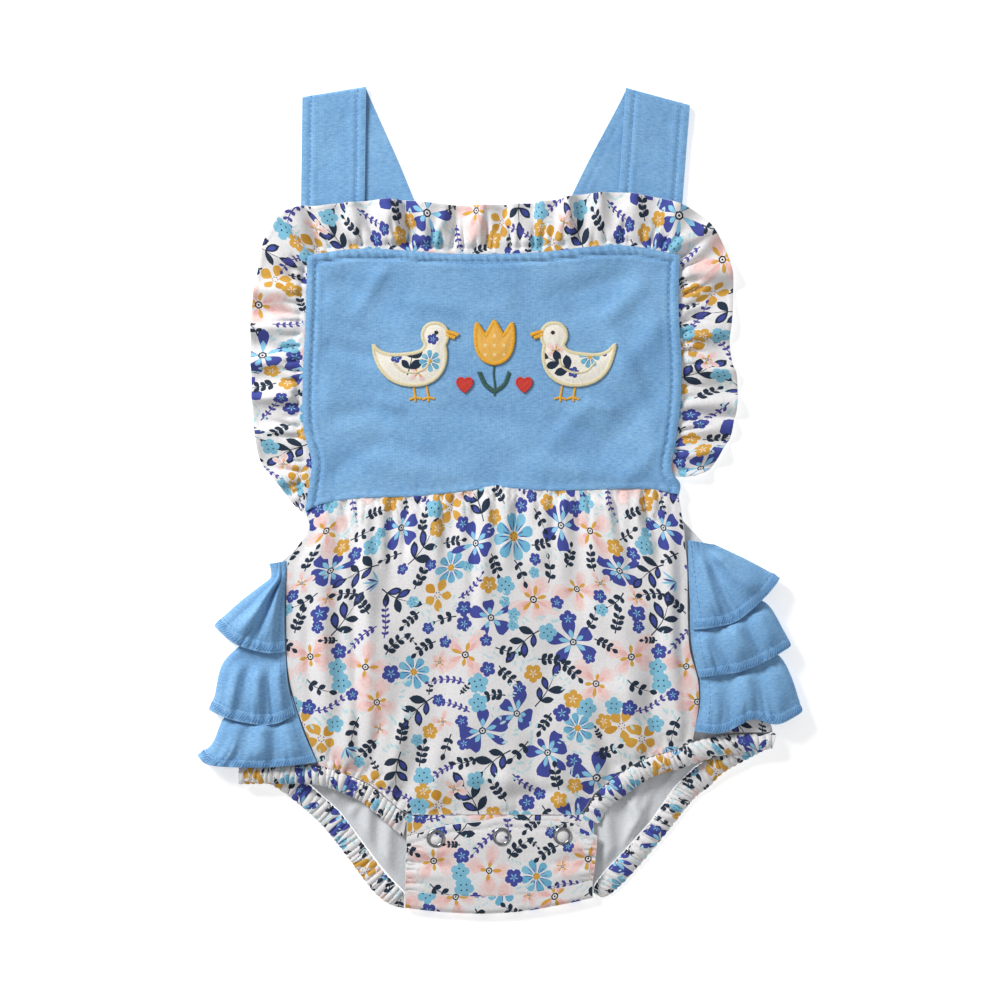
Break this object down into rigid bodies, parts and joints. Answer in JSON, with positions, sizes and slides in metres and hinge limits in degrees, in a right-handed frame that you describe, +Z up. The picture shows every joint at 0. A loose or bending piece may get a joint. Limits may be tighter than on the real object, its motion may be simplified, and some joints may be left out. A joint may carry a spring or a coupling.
{
  "type": "baby romper",
  "caption": "Bubble romper laid flat: square bib with a gathered frill, crossed straps, puffed body, seat ruffles at the sides and a snap crotch.",
  "frame": {"origin": "on the surface it lies on, under the middle of the garment's box", "axes": "+X to the right seen from above, +Y up towards the shoulders, +Z up from the surface through the layers of cloth"},
  "size_m": [0.3256, 0.4463, 0.0132],
  "materials": {
    "blue_jersey": "matte cotton jersey",
    "floral_print": "smooth soft knit, printed with small flowers",
    "snap_metal": "satin nickel",
    "cream_patch": "cotton patch with a satin stitched edge",
    "gold_patch": "cotton patch with a satin stitched edge",
    "red_patch": "satin stitch"
  },
  "bodies": {
    "root": {"bib": "blue_jersey", "strap_left": "blue_jersey", "strap_right": "blue_jersey", "tier_1": "blue_jersey", "tier_2": "blue_jersey", "tier_3": "blue_jersey", "bib_ruffle": "floral_print", "front": "floral_print", "back": "floral_print", "leg_band_left": "floral_print", "leg_band_right": "floral_print", "crotch_flap": "floral_print", "placket": "floral_print", "snap_1": "snap_metal", "snap_2": "snap_metal", "snap_3": "snap_metal", "duck_left": "cream_patch", "duck_right": "cream_patch", "tulip": "gold_patch", "heart_left": "red_patch", "heart_right": "red_patch"}
  },
  "joints": []
}
